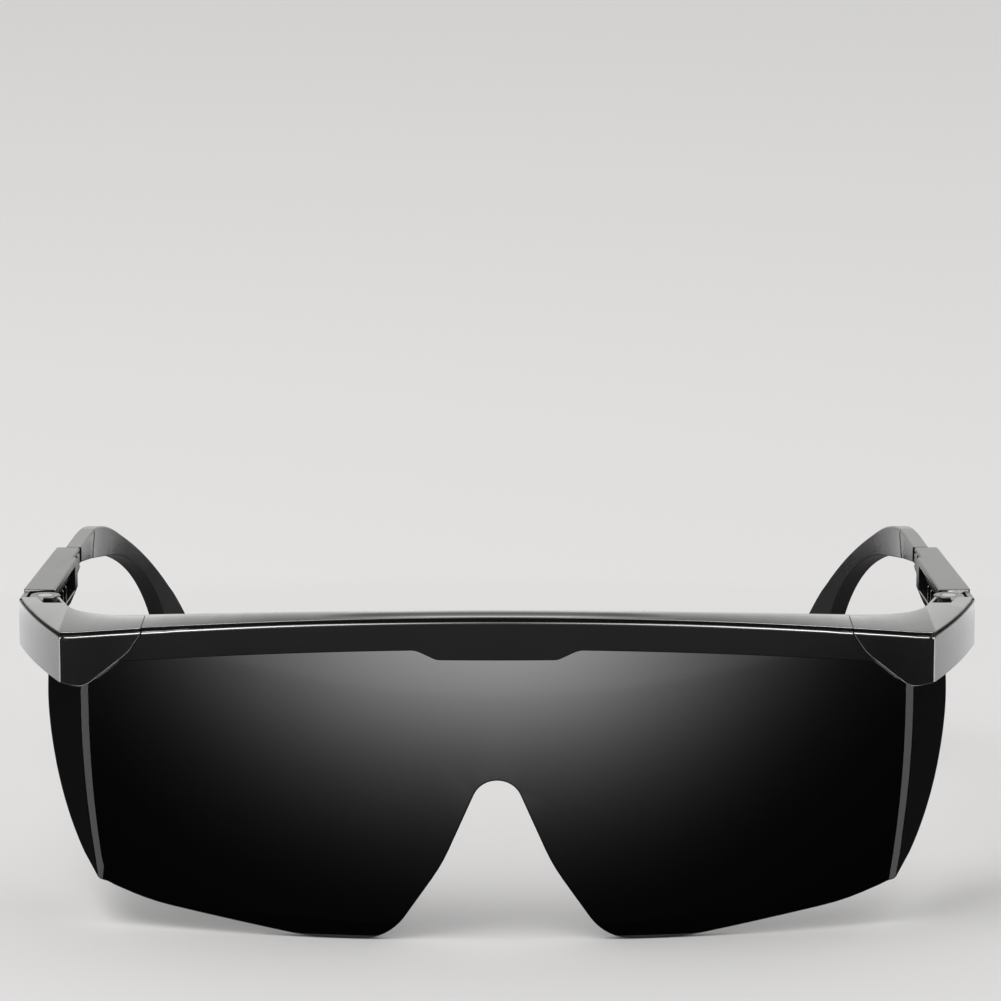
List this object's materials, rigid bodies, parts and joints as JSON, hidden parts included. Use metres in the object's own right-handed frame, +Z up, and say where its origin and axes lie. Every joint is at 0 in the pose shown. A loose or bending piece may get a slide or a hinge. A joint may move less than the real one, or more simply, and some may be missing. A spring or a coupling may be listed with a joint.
{
  "type": "eclipse glasses",
  "caption": "Wrap-around dark shield glasses with a brow bar, side shields and folding temples that lengthen.",
  "frame": {"origin": "on the table under the middle of the open glasses: centre of the box in X and Y, lowest point in Z", "axes": "+Z up, the lens faces -Y, the temples run back along +Y, +X is image right seen from the front"},
  "size_m": [0.162, 0.1684, 0.054],
  "materials": {
    "tinted_lens": "polished near-black tinted polycarbonate",
    "frame_plastic": "satin gloss black moulded nylon",
    "pin_steel": "plain steel"
  },
  "bodies": {
    "front": {"lens": "tinted_lens", "brow_bar": "frame_plastic", "right_corner_cap": "frame_plastic", "left_corner_cap": "frame_plastic", "right_hinge_pin": "pin_steel", "left_hinge_pin": "pin_steel"},
    "right_temple": {"right_temple_sleeve": "frame_plastic"},
    "left_temple": {"left_temple_sleeve": "frame_plastic"},
    "right_earpiece": {"right_temple_arm": "frame_plastic"},
    "left_earpiece": {"left_temple_arm": "frame_plastic"}
  },
  "joints": [
    {"name": "right_temple_fold", "type": "hinge", "parent": "front", "child": "right_temple", "pos_m": [0.0768, -0.03559, 0.04544], "axis": [0, 0, 1], "range_deg": [0, 90]},
    {"name": "left_temple_fold", "type": "hinge", "parent": "front", "child": "left_temple", "pos_m": [-0.0768, -0.03559, 0.04544], "axis": [0, 0, -1], "range_deg": [0, 75]},
    {"name": "right_temple_slide", "type": "slide", "parent": "right_temple", "child": "right_earpiece", "axis": [-0.0523, 0.9986, 0], "range_m": [0, 0.012]},
    {"name": "left_temple_slide", "type": "slide", "parent": "left_temple", "child": "left_earpiece", "axis": [0.0523, 0.9986, 0], "range_m": [0, 0.012]}
  ]
}
